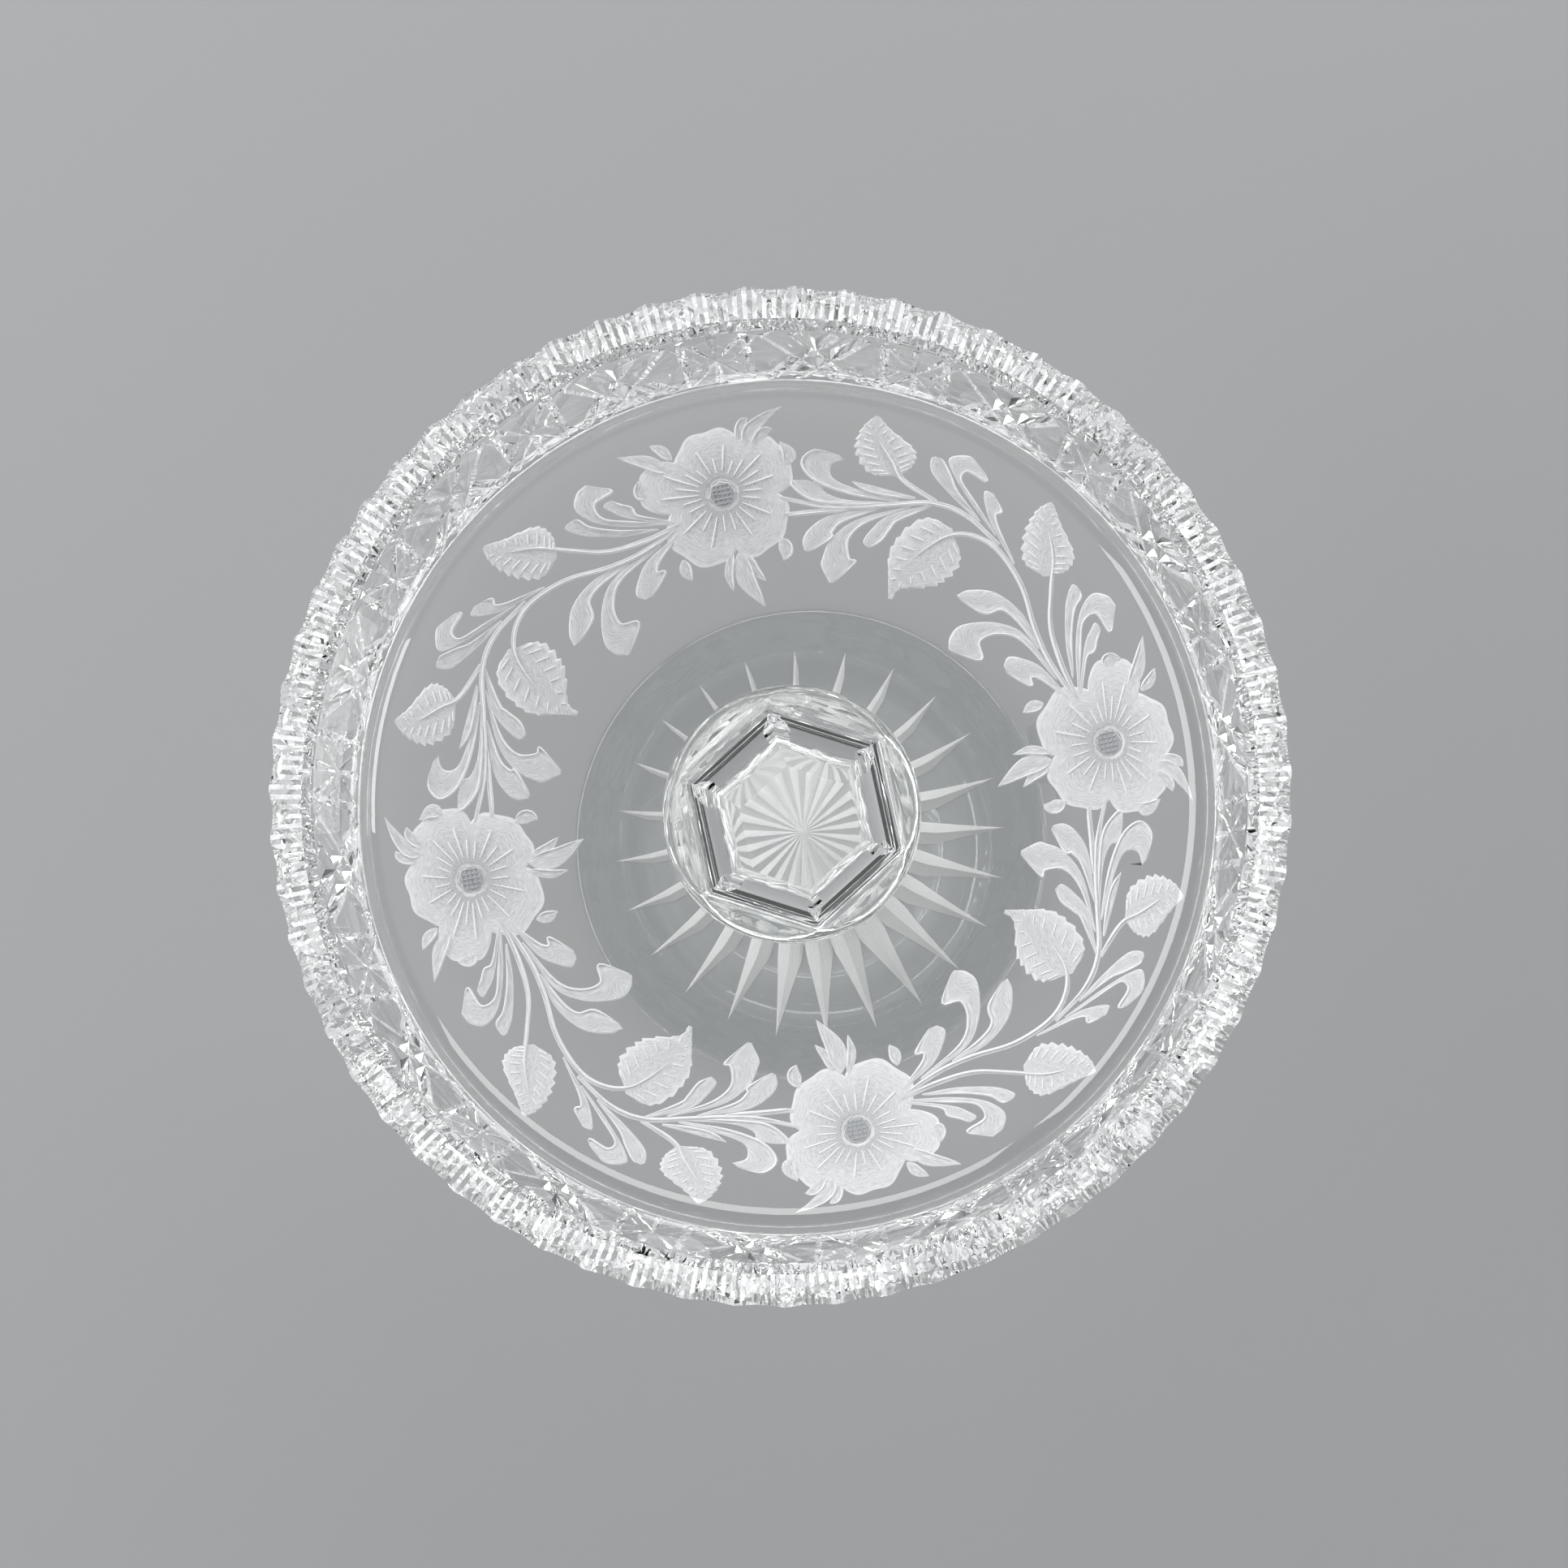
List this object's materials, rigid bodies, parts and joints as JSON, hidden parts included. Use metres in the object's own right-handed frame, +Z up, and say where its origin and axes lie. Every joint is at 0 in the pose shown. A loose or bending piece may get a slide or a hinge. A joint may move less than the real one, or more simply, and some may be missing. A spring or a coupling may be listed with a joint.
{
  "type": "cut glass compote",
  "caption": "Footed glass bowl with a thick scooped rim, a band of mitre cutting and an engraved floral garland, on a six-sided hollow-cut stem and a round foot with a star cut beneath.",
  "frame": {"origin": "centre of the foot's underside, on the surface that the compote stands on", "axes": "+Z up along the common axis of bowl, stem and foot; +Y towards the top of the picture and +X towards its right, with the mouth facing the camera"},
  "size_m": [0.2289, 0.229, 0.184],
  "materials": {
    "bowl_crystal": "clear polished lead crystal, with frosted wheel engraving on the underside",
    "stem_crystal": "clear polished lead crystal",
    "foot_crystal": "clear polished lead crystal, with a polished star cut beneath"
  },
  "bodies": {
    "root": {"bowl": "bowl_crystal", "collar": "stem_crystal", "stem": "stem_crystal", "foot": "foot_crystal"}
  },
  "joints": []
}
